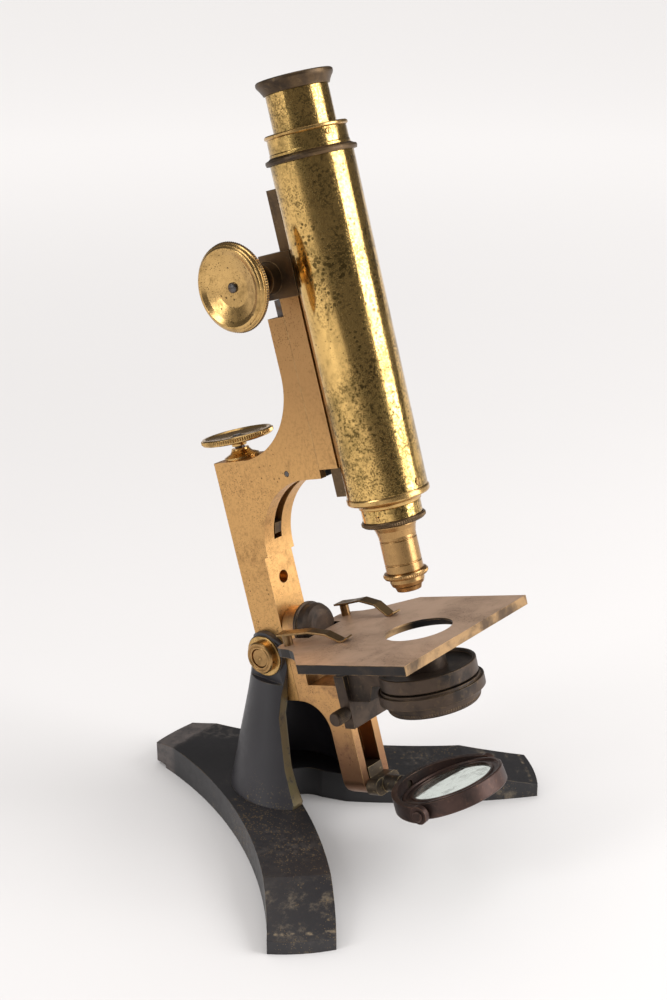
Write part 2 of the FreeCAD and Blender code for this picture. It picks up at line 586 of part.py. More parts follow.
def make_draw_tube():
    r, bore = S["draw_radius"], S["draw_bore"]
    turned("draw_tube", OPTICAL, [(bore, S["draw_low"]), (r, S["draw_low"]), (r, S["draw_high"]),
                                  (bore, S["draw_high"])])
    r, bore = S["ocular_radius"], S["ocular_bore"]
    turned("eyepiece_barrel", OPTICAL, [(bore, 205.0), (r, 205.0), (r, 262.5), (bore, 262.5)])
    turned("eyepiece_cap", OPTICAL, [
        (r + 0.05, 260.4), (15.1, 260.4), (15.4, 261.2), (16.3, 262.8), (17.3, 264.2),
        (17.6, 265.0), (17.5, 266.1), (16.9, 266.6), (15.4, 266.6), (14.6, 266.1), (7.0, 265.2),
        (4.2, 264.6), (4.2, 262.6), (r + 0.05, 262.6)])
    lens = bore - 0.05
    turned("eye_lens", OPTICAL, [(0.0, 258.6), (lens, 259.6), (lens, 262.0), (0.0, 262.0)])
    turned("field_lens", OPTICAL, [(0.0, 207.0), (lens, 208.4), (lens, 211.0), (0.0, 211.0)])


# ================================================================ stage
def make_stage():
    """Bracket with the arbor of the tailpiece, the plate, its clips and their posts."""
    bracket = new_body("stage_bracket", LIMB * shift(z=S["swing_z"]))
    arbor = S["arbor_radius"]
    revolve(bracket, [(4.9, 0.0), (4.9, arbor), (21.6, arbor), (21.6, 11.6), (22.0, 12.0),
                      (23.4, 12.0), (23.8, 11.2), (27.6, 11.2), (29.6, 10.2), (30.9, 8.0),
                      (31.2, 5.0), (31.2, 0.0)], axis="H_Axis")
    under = S["stage_under"] - S["swing_z"]
    extrude(bracket, "XY", 3.4, [box(24.0, 52.0, -9.0, 9.0)], offset=under - 0.02, both=False, back=True)

    plate = new_body("stage_plate", LIMB)
    half, back = S["stage_half"], S["stage_back"]
    side = [(S["stage_front"], -half), (S["stage_front"], half), (55.0, half), (41.0, 34.5),
            (37.0, 31.0), (33.0, 29.0), (26.0, 27.5), (23.0, 26.2), (back, 23.0), (back, 12.4),
            (31.5, 12.4), (31.5, -12.4), (back, -12.4), (back, -23.0), (23.0, -26.2),
            (26.0, -27.5), (33.0, -29.0), (37.0, -31.0), (41.0, -34.5), (55.0, -half)]
    extrude(plate, "XY", S["stage_top"] - S["stage_under"], [side],
            circles=[(S["optical_x"], 0.0, S["stage_hole"])], offset=S["stage_under"], both=False)
    extrude(plate, "XY", S["stage_top"] - S["stage_under"] - 1.0,
            circles=[(S["optical_x"], 0.0, S["stage_hole_under"])], offset=S["stage_under"], cut=True,
            both=False, back=True)
    for y in (-S["clip_y"], S["clip_y"]):
        extrude(plate, "XY", 20.0, circles=[(S["clip_x"], y, 1.5)], offset=S["stage_top"] - 3, cut=True)

    top = S["stage_top"]
    post = turned("clip_post", LIMB * shift(S["clip_x"], -S["clip_y"], top), [
        (0.0, -3.0), (1.48, -3.0), (1.48, 0.0), (S["post_radius"], 0.02), (S["post_radius"], 5.2),
        (S["post_radius"] - 0.3, 5.5), (1.4, 5.5), (1.4, 6.6), (0.9, 6.9), (0.0, 6.95)], keep=False)
    pair("clip_posts", post)

    # each spring leaf leaves its post, bows over and turns up again at its tip
    length = S["clip_length"]
    for name, sign, turn, bow in (("stage_clip_near", -1, S["near_clip_turn"], 0.0),
                                  ("stage_clip_far", 1, S["far_clip_turn"], 1.9)):
        frame = LIMB * shift(S["clip_x"], S["clip_y"].value * sign, top, turn=turn)
        clip = new_body(name, frame)
        leaf = [(-3.7, 5.6), (5.0, 5.7 + bow * 0.4), (14.0, 5.9 + bow), (23.0, 4.2 + bow * 0.8),
                (length - 5, 0.25), (length - 3, 0.25), (length, 1.8), (length - 0.4, 2.5),
                (length - 3.2, 1.05), (length - 4.7, 1.05), (23.4, 5.0 + bow * 0.8),
                (14.0, 6.75 + bow), (5.0, 6.55 + bow * 0.4), (-3.7, 6.5)]
        extrude(clip, "XZ", 7.0, [leaf])
        extrude(clip, "XY", 60.0, circles=[(0.0, 0.0, 1.45)], cut=True)
        for flip in (1, -1):
            trim = [(4.0, 3.5), (40.0, 2.5), (40.0, 9.0), (4.0, 9.0)]
            extrude(clip, "XY", 60.0, [[(x, y * flip) for x, y in trim][::flip]], cut=True)


def make_tailpiece():
    """Swinging bar: a round eye on the arbor, a bracket under the stage and a slotted bar."""
    tail = new_body("tailpiece", LIMB)
    back, half, low = S["tail_back"], S["tail_half"], -S["tail_low"]
    eye_top = S["swing_z"] + half
    profile = [(back, eye_top), (back, -25.2), (S["tail_bar"], -41.0, -16.2),
               (S["tail_bar"], low + 3), (S["tail_bar"] + 3, low), (S["tail_front"], low),
               (S["tail_front"], -S["tail_shelf"]), (S["tail_arm"], -S["tail_shelf"]),
               (S["tail_arm"], eye_top)]
    extrude(tail, "XZ", half * 2, [profile])
    centre = S["swing_z"]
    round_top = [(half, centre, -half), (half + 4, centre), (half + 4, eye_top + 4),
                 (0.0, eye_top + 4), (0.0, eye_top)]
    round_foot = [(1.0, low, -(half - 1)), (1.0, low - 4), (half + 4, low - 4),
                  (half + 4, low + 9), (half, low + 9)]
    for corner in (round_top, round_foot):
        extrude(tail, "YZ", 200.0, [corner], cut=True)
        extrude(tail, "YZ", 200.0, [flipped(corner)], cut=True)
    slot = S["tail_slot_half"]
    extrude(tail, "YZ", S["tail_slot_deep"], [box(-slot, slot, -S["tail_slot_low"], -S["tail_slot_high"])],
            offset=S["tail_front"], cut=True, both=False)
    extrude(tail, "YZ", 100.0, circles=[(0.0, S["swing_z"], S["arbor_radius"] + 0.06)], cut=True)


def make_substage():
    slider = new_body("substage_slider", LIMB)
    low, high, half = -S["slider_low"], -S["slider_high"], S["slider_half"]
    front, optical = S["slider_front"], S["optical_x"]
    face = S["tail_front"] + 0.2
    extrude(slider, "XZ", half * 2, [box(face, front, low, high)])
    # tenon that runs in the channel of the tailpiece
    tenon = S["tail_slot_half"] * 2 - 0.6
    extrude(slider, "XZ", tenon, [box(face - 8.6, face + 1, low + 1, -22.0)])
    arm = [(front - 1, -24.0), (60.0, -24.0), (63.5, -15.9), (72.0, -15.9), (72.0, high), (front - 1, high)]
    extrude(slider, "XZ", 22.0, [arm])
    extrude(slider, "XY", 80.0, circles=[(optical, 0.0, S["substage_radius"] + 0.02)], cut=True)
    extrude(slider, "XZ", 40.0, circles=[(S["clamp_x"], -S["clamp_z"], 2.1)], cut=True, both=False,
            back=True)

    top, under, r, hub = -S["substage_top"], -S["substage_under"], S["substage_radius"], S["hub_radius"]
    turned("substage_ring", OPTICAL, [
        (hub + 0.05, -19.8), (13.8, -19.8), (13.8, under), (r - 0.6, under), (r, under + 0.6),
        (r, top - 0.4), (r - 0.4, top), (r - 1.4, top), (r - 1.9, top - 1.4),
        (hub + 0.05, top - 1.4)])
    turned("aperture_tube", OPTICAL, [
        (8.0, under), (hub, under), (hub, -3.8), (hub - 0.8, -3.0), (8.0, -3.0)])
    turned("diaphragm_drum", OPTICAL, [
        (14.0, -22.4), (25.2, -22.4), (25.5, -22.1), (25.5, -17.3), (25.2, -17.0), (24.1, -17.3),
        (23.9, -16.0), (14.0, -16.0)])
    turned("diaphragm_cell", OPTICAL, [
        (12.0, -27.9), (21.2, -27.9), (21.7, -27.4), (22.5, -25.0), (23.0, -22.42), (12.0, -22.42)])
    turned("iris_plate", OPTICAL, [(4.0, -22.3), (13.95, -22.3), (13.95, -21.5), (4.0, -21.5)])
    turned("clamp_screw", along(LIMB, NEAR, S["clamp_x"], 0.0, -S["clamp_z"]), [
        (0.0, 2.0), (2.0, 2.0), (2.0, half + 0.2), (3.0, half + 0.2), (3.4, half + 0.7),
        (3.4, S["clamp_end"] - 0.6), (2.9, S["clamp_end"]), (0.0, S["clamp_end"])])


def make_mirror():
    axis_z = -S["mirror_z"]
    carriage = new_body("mirror_carriage", LIMB)
    lug = S["tail_slot_half"] - 0.3
    front = S["tail_front"] + 0.2
    extrude(carriage, "XZ", lug * 2, [box(front - 8.8, front + 0.5, -69.0, -61.0)])
    extrude(carriage, "YZ", 6.4, [[(-5.8, -75.05, 4.3), (5.8, -75.05), (5.8, -66.55, 4.3),
                                   (-5.8, -66.55)]], offset=front, both=False)
    extrude(carriage, "YZ", 15.4, circles=[(0.0, axis_z, 4.25)], offset=front, both=False)
    extrude(carriage, "YZ", 19.6, circles=[(0.0, axis_z, 2.0)], offset=front, both=False)

    fork_frame = LIMB * shift(z=axis_z, axis=V(1, 0, 0), turn=S["swivel"])
    fork = new_body("mirror_fork", fork_frame)
    optical, outer, inner = S["optical_x"], S["fork_outer"], S["fork_inner"]
    band = [(optical, -inner), (optical - inner, 0.0, -inner), (optical, inner, -inner),
            (optical, outer), (optical - outer, 0.0, outer), (optical, -outer, outer)]
    extrude(fork, "XY", S["fork_half"] * 2, [band])
    for start, back in ((inner, False), (-inner, True)):
        extrude(fork, "XZ", outer - inner, circles=[(optical, 0.0, S["fork_half"] + 0.4)], offset=start,
                both=False, back=back)
    extrude(fork, "YZ", 4.3, circles=[(0.0, 0.0, 4.0)], offset=optical - outer - 1.9, both=False)
    extrude(fork, "YZ", 5.2, circles=[(0.0, 0.0, 2.05)], offset=optical - outer - 2.2, cut=True,
            both=False, back=True)
    extrude(fork, "XZ", 100.0, circles=[(optical, 0.0, 1.5)], cut=True)

    pivot = turned("fork_pivot", along(fork_frame, NEAR, optical), [
        (0.0, 22.6), (1.48, 22.6), (1.48, outer + 0.05), (2.7, outer + 0.05), (2.7, outer + 0.9),
        (2.2, outer + 1.4), (0.0, outer + 1.4)], keep=False)
    far_pivot = turned("fork_pivot_far", along(fork_frame, FAR, optical), [
        (0.0, 22.6), (1.48, 22.6), (1.48, outer + 0.05), (2.7, outer + 0.05), (2.7, outer + 0.9),
        (2.2, outer + 1.4), (0.0, outer + 1.4)], keep=False)
    set_of("fork_pivots", [pivot, far_pivot])

    tilted = fork_frame * shift(x=optical, axis=V(0, 1, 0), turn=-S["mirror_tilt"])
    r, bore, half = S["frame_radius"], S["frame_bore"], S["frame_half"]
    seat = S["mirror_radius"] + 0.05
    frame = turned("mirror_frame", tilted, [
        (bore, 3.0), (bore, half - 0.3), (bore + 1.1, half - 0.3), (bore + 1.5, half - 0.9),
        (r - 1.9, half - 0.9), (r - 1.5, half), (r - 0.5, half), (r, half - 0.5), (r, -half + 0.5),
        (r - 0.5, -half), (r - 1.5, -half), (r - 1.9, -half + 0.9), (bore + 1.5, -half + 0.9),
        (bore + 1.1, -half + 0.3), (bore, -half + 0.3), (bore, -3.0), (seat, -3.0), (seat, 3.0)])
    extrude(frame, "XZ", 100.0, circles=[(0.0, 0.0, 1.55)], cut=True)
    glass = S["mirror_radius"]
    turned("mirror_plane", tilted, [(0.0, 0.1), (glass, 0.1), (glass, 2.95), (0.0, 2.95)])
    turned("mirror_concave", tilted, [(0.0, -1.6), (glass, -2.95, 160.0), (glass, -0.1), (0.0, -0.1)])


for make in (make_foot, make_pillar, make_trunnion, make_limb, make_fine_focus, make_guide,
             make_coarse_focus, make_tube, make_objective, make_tube_screws, make_draw_tube,
             make_stage, make_tailpiece, make_substage, make_mirror):
    make()
doc.recompute()

for item in doc.Objects:
    if "Invalid" in item.State or "Error" in item.State:
        raise RuntimeError("%s did not recompute: %s" % (item.Label, item.State))
for node in nodes:
    if node.Shape.isNull() or not node.Shape.isValid() or not node.Shape.Solids:
        raise RuntimeError("%s has no valid solid" % node.Label)

os.makedirs("parts", exist_ok=True)
for node in nodes:
    node.Shape.exportStep("parts/%s.step" % node.Label)
    print("%-18s %10.1f mm3  %d solid(s)" % (node.Label, node.Shape.Volume, len(node.Shape.Solids)))
print(len(nodes), "nodes")
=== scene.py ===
import bmesh
import bpy
import json
import math
from mathutils import Matrix, Vector


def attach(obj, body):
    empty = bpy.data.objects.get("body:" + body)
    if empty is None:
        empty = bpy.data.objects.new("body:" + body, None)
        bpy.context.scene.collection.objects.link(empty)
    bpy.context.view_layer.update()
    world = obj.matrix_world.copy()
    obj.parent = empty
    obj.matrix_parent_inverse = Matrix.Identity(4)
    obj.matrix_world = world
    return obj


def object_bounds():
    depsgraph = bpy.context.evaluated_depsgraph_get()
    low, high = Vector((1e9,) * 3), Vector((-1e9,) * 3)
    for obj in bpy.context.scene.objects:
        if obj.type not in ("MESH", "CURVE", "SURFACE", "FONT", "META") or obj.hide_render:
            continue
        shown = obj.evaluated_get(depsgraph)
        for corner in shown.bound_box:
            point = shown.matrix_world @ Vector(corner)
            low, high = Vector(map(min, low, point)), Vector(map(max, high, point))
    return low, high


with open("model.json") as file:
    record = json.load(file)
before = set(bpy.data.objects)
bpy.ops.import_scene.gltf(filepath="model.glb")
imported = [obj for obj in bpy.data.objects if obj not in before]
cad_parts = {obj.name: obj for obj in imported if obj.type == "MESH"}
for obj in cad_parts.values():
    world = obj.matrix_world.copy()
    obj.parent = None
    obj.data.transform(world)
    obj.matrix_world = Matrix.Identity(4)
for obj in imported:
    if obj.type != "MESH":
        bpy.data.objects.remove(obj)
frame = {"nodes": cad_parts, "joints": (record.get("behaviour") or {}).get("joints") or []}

# Looks of the brass microscope: materials, milled knobs, studio.  Metres, in the CAD frame.

size_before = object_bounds()
NODES = frame["nodes"]
JOINTS = {joint["name"]: joint for joint in frame["joints"]}


# ---------------------------------------------------------------- frames on the object
def joint_frame(name):
    """Origin and direction of a joint's axis."""
    joint = JOINTS[name]
    return Vector(joint.get("pos_m", (0, 0, 0))), Vector(joint["axis"]).normalized()


TRUNNION, _ = joint_frame("limb_tilt")
_, UP_TUBE = joint_frame("tube_slide")
FORWARD = Vector((UP_TUBE.z, 0, -UP_TUBE.x))
LEAN = Matrix((FORWARD, Vector((0, 1, 0)), UP_TUBE)).transposed().to_4x4()
LIMB = Matrix.Translation(TRUNNION) @ LEAN


# ---------------------------------------------------------------- shader toolkit
class Shader:
    """One material's node tree, with short calls for the nodes it is made of."""

    def __init__(self, name):
        self.material = bpy.data.materials.new(name)
        self.material.use_nodes = True
        self.nodes = self.material.node_tree.nodes
        self.links = self.material.node_tree.links
        self.bsdf = self.nodes["Principled BSDF"]
        self.place = self.node("ShaderNodeTexCoord").outputs["Object"]

    def node(self, kind, inputs=None, **settings):
        node = self.nodes.new(kind)
        for key, value in settings.items():
            setattr(node, key, value)
        for key, value in (inputs or {}).items():
            self.feed(node.inputs[key], value)
        return node

    def feed(self, socket, value):
        if isinstance(value, bpy.types.NodeSocket):
            self.links.new(value, socket)
        else:
            socket.default_value = value

    def set(self, **values):
        """Principled inputs; underscores stand for spaces."""
        for key, value in values.items():
            self.feed(self.bsdf.inputs[key.replace("_", " ")], value)

    def math(self, operation, a, b=0.0):
        return self.node("ShaderNodeMath", {0: a, 1: b}, operation=operation).outputs[0]

    def mix(self, share, a, b):
        """Colour a where the share is 0, colour b where it is 1."""
        node = self.node("ShaderNodeMix", data_type="RGBA")
        for socket, value in ((node.inputs[0], share), (node.inputs[6], a), (node.inputs[7], b)):
            if not isinstance(value, bpy.types.NodeSocket) and hasattr(value, "__len__"):
                value = (*value[:3], 1.0)
            self.feed(socket, value)
        return node.outputs[2]

    def ramp(self, value, low, high):
        """0 at the low value, 1 at the high one, eased between them."""
        return self.node("ShaderNodeMapRange", {0: value, 1: low, 2: high},
                         interpolation_type="SMOOTHSTEP").outputs[0]

    def stretched(self, x, y, z, turn=0.0):
        """The object's coordinates scaled and turned about Y, for streaks and scratches."""
        node = self.node("ShaderNodeMapping", {"Vector": self.place, "Scale": (x, y, z),
                                               "Rotation": (0, turn, 0)})
        return node.outputs[0]

    def noise(self, scale, detail=4.0, rough=0.55, at=None, twist=0.0):
        node = self.node("ShaderNodeTexNoise", {"Vector": at or self.place, "Scale": scale,
                                                "Detail": detail, "Roughness": rough,
                                                "Distortion": twist})
        return node.outputs[0]

    def cells(self, scale):
        """Distance to the nearest of many scattered points."""
        return self.node("ShaderNodeTexVoronoi", {"Vector": self.place, "Scale": scale}).outputs["Distance"]

    def bump(self, height, strength, depth, normal):
        return self.node("ShaderNodeBump", {"Height": height, "Strength": strength, "Distance": depth,
                                            "Normal": normal}).outputs[0]

    def soft_edges(self, radius):
        """The surface normal, rounded over the edges."""
        return self.node("ShaderNodeBevel", {"Radius": radius}, samples=6).outputs[0]

    def edge(self, radius, low, high):
        """1 on convex and concave edges, 0 on the faces between them."""
        normal = self.node("ShaderNodeNewGeometry").outputs["Normal"]
        dot = self.node("ShaderNodeVectorMath", {0: self.soft_edges(radius), 1: normal},
                        operation="DOT_PRODUCT").outputs["Value"]
        return self.ramp(self.math("SUBTRACT", 1.0, dot), low, high)

    def facing(self, direction, low, high):
        """1 on faces that look in a direction of the object's own frame."""
        own = self.node("ShaderNodeTexCoord").outputs["Normal"]
        dot = self.node("ShaderNodeVectorMath", {0: own, 1: tuple(direction)}, operation="DOT_PRODUCT")
        return self.ramp(dot.outputs["Value"], low, high)

    def specks(self, scale, size, gather):
        """Specks of a given size, larger and closer where the gather field is high."""
        warp = self.noise(scale * 0.6, 3.0)
        limit = self.math("MULTIPLY", self.math("MULTIPLY", gather, warp), size)
        return self.math("LESS_THAN", self.cells(scale), limit)


# turn about Y that lays streaks along the leaned tube and limb
LEAN_TURN = math.atan2(-UP_TUBE.x, UP_TUBE.z)


# ---------------------------------------------------------------- materials
def brass(name, bright, dull, tarnish, rough, speck=0.5, patch=0.5, wear=0.0, worn=None, brushed=0.0,
          shade=None, mottle=0.0):
    """Lacquered brass: clouds of dulling, dark specks, fine scratches and paler worn edges.

    shade is (height where it starts, height where it is full, share, colour) of a painted shade that darkens
    it slowly with height.
    mottle is the strength of a dense fine tarnish."""
    s = Shader(name)
    cloud = s.noise(26.0, 7.0, 0.65, twist=0.5)
    small = s.noise(210.0, 6.0, 0.65)
    dulled = s.ramp(s.math("ADD", s.math("MULTIPLY", cloud, 0.65), s.math("MULTIPLY", small, 0.35)),
                    0.60 - 0.25 * patch, 0.76 - 0.25 * patch)
    colour = s.mix(dulled, bright, dull)
    if shade:
        # painted shade: the colour darkens with height, upwards or downwards as start and full are ordered
        start, full, share, deep = shade
        z = s.node("ShaderNodeSeparateXYZ", {0: s.place}).outputs["Z"]
        colour = s.mix(s.math("MULTIPLY", s.ramp(z, start, full), share), colour, deep)
    if mottle:
        # thicker in some places than in others
        patches = s.ramp(s.noise(28.0, 4.0, 0.6), 0.30, 0.62)
        flecks = s.ramp(s.noise(620.0, 6.0, 0.72), 0.47, 0.60)
        colour = s.mix(s.math("MULTIPLY", s.math("MULTIPLY", patches, flecks), mottle), colour, tarnish)
    gather = s.ramp(s.noise(34.0, 4.0, 0.6), 0.30, 0.70)
    fine = s.specks(1100.0, 1.15 * speck, gather)
    coarse = s.specks(380.0, 0.72 * speck, s.ramp(s.noise(19.0, 3.0), 0.38, 0.72))
    spots = s.math("MAXIMUM", s.math("MULTIPLY", fine, 0.75), coarse)
    colour = s.mix(s.math("MULTIPLY", spots, 0.78), colour, tarnish)
    drips = s.ramp(s.noise(1.0, 5.0, 0.6, at=s.stretched(150.0, 150.0, 24.0, LEAN_TURN)), 0.60, 0.74)
    colour = s.mix(s.math("MULTIPLY", drips, 0.5 * speck), colour, tarnish)
    streak = s.noise(1.0, 3.0, 0.6, at=s.stretched(2600.0, 2600.0, 260.0, LEAN_TURN))
    colour = s.mix(s.math("MULTIPLY", s.ramp(streak, 0.5, 0.8), 0.12 + 0.10 * brushed), colour, tarnish)
    if wear:
        edges = s.math("MULTIPLY", s.edge(0.0011, 0.02, 0.2), s.ramp(small, 0.35, 0.6))
        colour = s.mix(s.math("MULTIPLY", edges, wear), colour, worn or bright)
    fine_rough = s.math("MULTIPLY", s.ramp(streak, 0.3, 0.8), 0.08 + 0.10 * brushed)
    roughness = s.math("ADD", s.math("ADD", rough, fine_rough),
                       s.math("MULTIPLY", s.math("MAXIMUM", dulled, spots), 0.14))
    relief = s.math("SUBTRACT", s.math("MULTIPLY", streak, 0.25 + 0.5 * brushed),
                    s.math("MULTIPLY", spots, 0.5))
    s.set(Base_Color=colour, Metallic=1.0, Roughness=roughness,
          Normal=s.bump(relief, 0.22, 0.00006, s.soft_edges(0.00035)))
    return s.material


def bronze(name, base, deep, worn, rough, wear=0.6, metallic=0.75, flecks=0.45):
    """Chemically darkened bronze: mottled brown-black, rubbed to brass on its edges."""
    s = Shader(name)
    cloud = s.noise(45.0, 6.0, 0.62, twist=0.3)
    grain = s.noise(420.0, 4.0, 0.6)
    colour = s.mix(s.ramp(cloud, 0.38, 0.68), base, deep)
    colour = s.mix(s.math("MULTIPLY", s.ramp(grain, 0.55, 0.75), flecks), colour, worn)
    edges = s.math("MULTIPLY", s.edge(0.0007, 0.015, 0.2), s.ramp(s.noise(120.0, 5.0), 0.34, 0.62))
    colour = s.mix(s.math("MULTIPLY", edges, wear), colour, worn)
    roughness = s.math("ADD", rough, s.math("MULTIPLY", cloud, 0.25))
    s.set(Base_Color=colour, Metallic=metallic, Roughness=roughness,
          Normal=s.bump(grain, 0.3, 0.00008, s.soft_edges(0.0004)))
    return s.material


def stage_bronze(name):
    """The stage plate: tan on top, worn brass in front, blackened on its other edges."""
    s = Shader(name)
    cloud = s.noise(38.0, 7.0, 0.66, twist=0.4)
    grain = s.noise(520.0, 4.0, 0.6)
    top, front = s.facing(UP_TUBE, 0.6, 0.9), s.facing(FORWARD, 0.7, 0.95)
    tan = s.mix(s.ramp(cloud, 0.35, 0.7), (0.56, 0.375, 0.255), (0.36, 0.235, 0.155))
    tan = s.mix(s.math("MULTIPLY", s.ramp(grain, 0.55, 0.8), 0.35), tan, (0.66, 0.47, 0.30))
    pits = s.specks(700.0, 0.7, s.ramp(cloud, 0.3, 0.7))
    tan = s.mix(s.math("MULTIPLY", pits, 0.5), tan, (0.12, 0.075, 0.045))
    edge = s.mix(s.ramp(cloud, 0.45, 0.65), (0.018, 0.015, 0.014), (0.05, 0.035, 0.025))
    brassy = s.mix(s.ramp(cloud, 0.42, 0.62), (0.36, 0.22, 0.10), (0.09, 0.055, 0.03))
    colour = s.mix(top, s.mix(front, edge, brassy), tan)
    lines = s.math("MULTIPLY", s.edge(0.0007, 0.015, 0.2), s.ramp(s.noise(140.0, 5.0), 0.36, 0.6))
    colour = s.mix(s.math("MULTIPLY", lines, 0.7), colour, (0.50, 0.31, 0.14))
    s.set(Base_Color=colour, Metallic=0.6, Roughness=s.math("ADD", 0.34, s.math("MULTIPLY", cloud, 0.25)),
          Normal=s.bump(grain, 0.25, 0.00008, s.soft_edges(0.0004)))
    return s.material


# distance of the worn line on the toes from the middle of the base
TOE_LIP = 0.1295
# height where the pillar's front edge starts to bow forward, and how far below that it is full
EDGE_TOP, EDGE_DROP = 0.0705, 0.0524


def enamel(name, wear, black, strip=False, bare=(0.20, 0.14, 0.075)):
    """Black stoved enamel on iron, scuffed brown, chipped to the metal along its edges.

    strip is for the pillar, whose front edge is rubbed bare; without it, the toes and heel are."""
    s = Shader(name)
    scuff = s.noise(14.0, 7.0, 0.68, twist=0.6)
    fine = s.noise(260.0, 5.0, 0.65)
    worn = s.math("MULTIPLY", s.ramp(scuff, 0.5, 0.78), s.ramp(fine, 0.4, 0.66))
    colour = s.mix(s.ramp(s.noise(6.0, 5.0), 0.35, 0.75), black, tuple(1.9 * part for part in black))
    colour = s.mix(s.math("MULTIPLY", worn, 0.85 * wear), colour, (0.105, 0.085, 0.070))
    if not strip:
        # the toes are scuffed through in patches, and the heel's end is worn all over
        away = s.node("ShaderNodeVectorMath", {0: s.place}, operation="LENGTH").outputs["Value"]
        rubbed = s.ramp(s.noise(1.0, 8.0, 0.75, at=s.stretched(52.0, 38.0, 60.0)), 0.50, 0.62)
        rubbed = s.math("MULTIPLY", rubbed, s.math("MULTIPLY", s.ramp(away, 0.090, 0.112),
                                                   s.ramp(fine, 0.34, 0.56)))
        colour = s.mix(s.math("MULTIPLY", rubbed, 0.9), colour, (0.115, 0.090, 0.062))
        back = s.math("MULTIPLY", s.node("ShaderNodeSeparateXYZ", {0: s.place}).outputs["X"], -1.0)
        heel = s.math("MULTIPLY", s.ramp(back, 0.061, 0.066), s.ramp(fine, 0.2, 0.7))
        colour = s.mix(s.math("MULTIPLY", heel, 0.8), colour, (0.095, 0.076, 0.068))
        lip = s.ramp(s.math("ABSOLUTE", s.math("SUBTRACT", away, TOE_LIP)), 0.0012, 0.0004)
        colour = s.mix(s.math("MULTIPLY", lip, s.ramp(fine, 0.46, 0.66)), colour, (0.16, 0.12, 0.075))
    chips = s.math("MULTIPLY", s.specks(750.0, 0.7, s.ramp(s.noise(12.0, 5.0, 0.65), 0.46, 0.68)), wear)
    # a few larger flakes, ragged at their rims
    flakes = s.math("MULTIPLY", s.ramp(s.noise(240.0, 7.0, 0.72), 0.60, 0.66),
                    s.ramp(s.noise(16.0, 2.0), 0.50, 0.62))
    chips = s.math("MAXIMUM", chips, flakes)
    edges = s.math("MULTIPLY", s.edge(0.0009, 0.03, 0.3), s.ramp(s.noise(90.0, 6.0, 0.7), 0.44, 0.60))
    bared = s.math("MAXIMUM", s.math("MULTIPLY", chips, 0.6), s.math("MULTIPLY", edges, 0.8))
    if strip:
        # rubbed bare along the cut front edge, whose line bows forward towards the foot
        x, _, z = s.node("ShaderNodeSeparateXYZ", {0: s.place}).outputs
        drop = s.math("MAXIMUM", s.math("DIVIDE", s.math("SUBTRACT", EDGE_TOP, z), EDGE_DROP), 0.0)
        line = s.math("ADD", s.math("MULTIPLY", s.math("POWER", drop, 1.6), 0.016), 0.0105)
        ahead = s.math("MULTIPLY", s.facing((0.957, 0, 0.29), 0.7, 0.9), s.math("GREATER_THAN", x, line))
        low = s.math("MULTIPLY", ahead, s.ramp(z, 0.080, 0.066))
        bared = s.math("MAXIMUM", bared, s.math("MULTIPLY", low, s.ramp(fine, 0.25, 0.5)))
        bare = s.mix(s.ramp(scuff, 0.4, 0.65), bare, (0.13, 0.115, 0.05))
    colour = s.mix(bared, colour, bare)
    scratch = s.noise(1.0, 3.0, 0.6, at=s.stretched(60.0, 1300.0, 300.0, 0.5))
    colour = s.mix(s.math("MULTIPLY", s.ramp(scratch, 0.70, 0.80), 0.3 * wear), colour, (0.14, 0.125, 0.11))
    roughness = s.math("ADD", 0.30, s.math("MULTIPLY", s.math("ADD", worn, fine), 0.24))
    relief = s.math("SUBTRACT", s.math("MULTIPLY", fine, 0.35), bared)
    s.set(Base_Color=colour, Metallic=s.math("MULTIPLY", bared, 0.6), Roughness=roughness,
          Normal=s.bump(relief, 0.35, 0.00012, s.soft_edges(0.0007)))
    return s.material


def steel(name):
    """Dark oiled steel with brown bloom."""
    s = Shader(name)
    bloom = s.ramp(s.noise(150.0, 5.0), 0.45, 0.7)
    s.set(Base_Color=s.mix(bloom, (0.11, 0.10, 0.095), (0.13, 0.075, 0.04)), Metallic=0.85,
          Roughness=s.math("ADD", 0.3, s.math("MULTIPLY", bloom, 0.3)),
          Normal=s.bump(s.noise(500.0), 0.2, 0.00005, s.soft_edges(0.0002)))
    return s.material


def lens_glass(name):
    """Clear glass with a light haze."""
    s = Shader(name)
    haze = s.ramp(s.noise(200.0, 5.0), 0.4, 0.8)
    s.set(Base_Color=s.mix(haze, (0.95, 0.97, 0.96), (0.8, 0.82, 0.78)), IOR=1.52,
          Roughness=s.math("MULTIPLY", haze, 0.12), Transmission_Weight=0.9)
    return s.material


def mirror_glass(name):
    """Silvered glass, greenish, dusty in patches."""
    s = Shader(name)
    dust = s.ramp(s.noise(120.0, 6.0, 0.7), 0.42, 0.8)
    dots = s.specks(600.0, 0.5, s.ramp(s.noise(40.0), 0.45, 0.7))
    colour = s.mix(s.math("MULTIPLY", dust, 0.5), (0.62, 0.70, 0.64), (0.42, 0.46, 0.40))
    colour = s.mix(s.math("MULTIPLY", dots, 0.5), colour, (0.20, 0.20, 0.16))
    s.set(Base_Color=colour, Metallic=0.95,
          Roughness=s.math("ADD", 0.05, s.math("MULTIPLY", dust, 0.2)), Coat_Weight=0.5, Coat_Roughness=0.03)
    return s.material


GOLD, DULL_GOLD, OLIVE = (0.76, 0.49, 0.17), (0.40, 0.265, 0.09), (0.050, 0.034, 0.010)
ORANGE, DULL_ORANGE, RUST = (0.66, 0.38, 0.145), (0.42, 0.235, 0.09), (0.09, 0.046, 0.020)
UMBER, SOOT, RUBBED = (0.082, 0.056, 0.040), (0.024, 0.020, 0.018), (0.34, 0.22, 0.10)

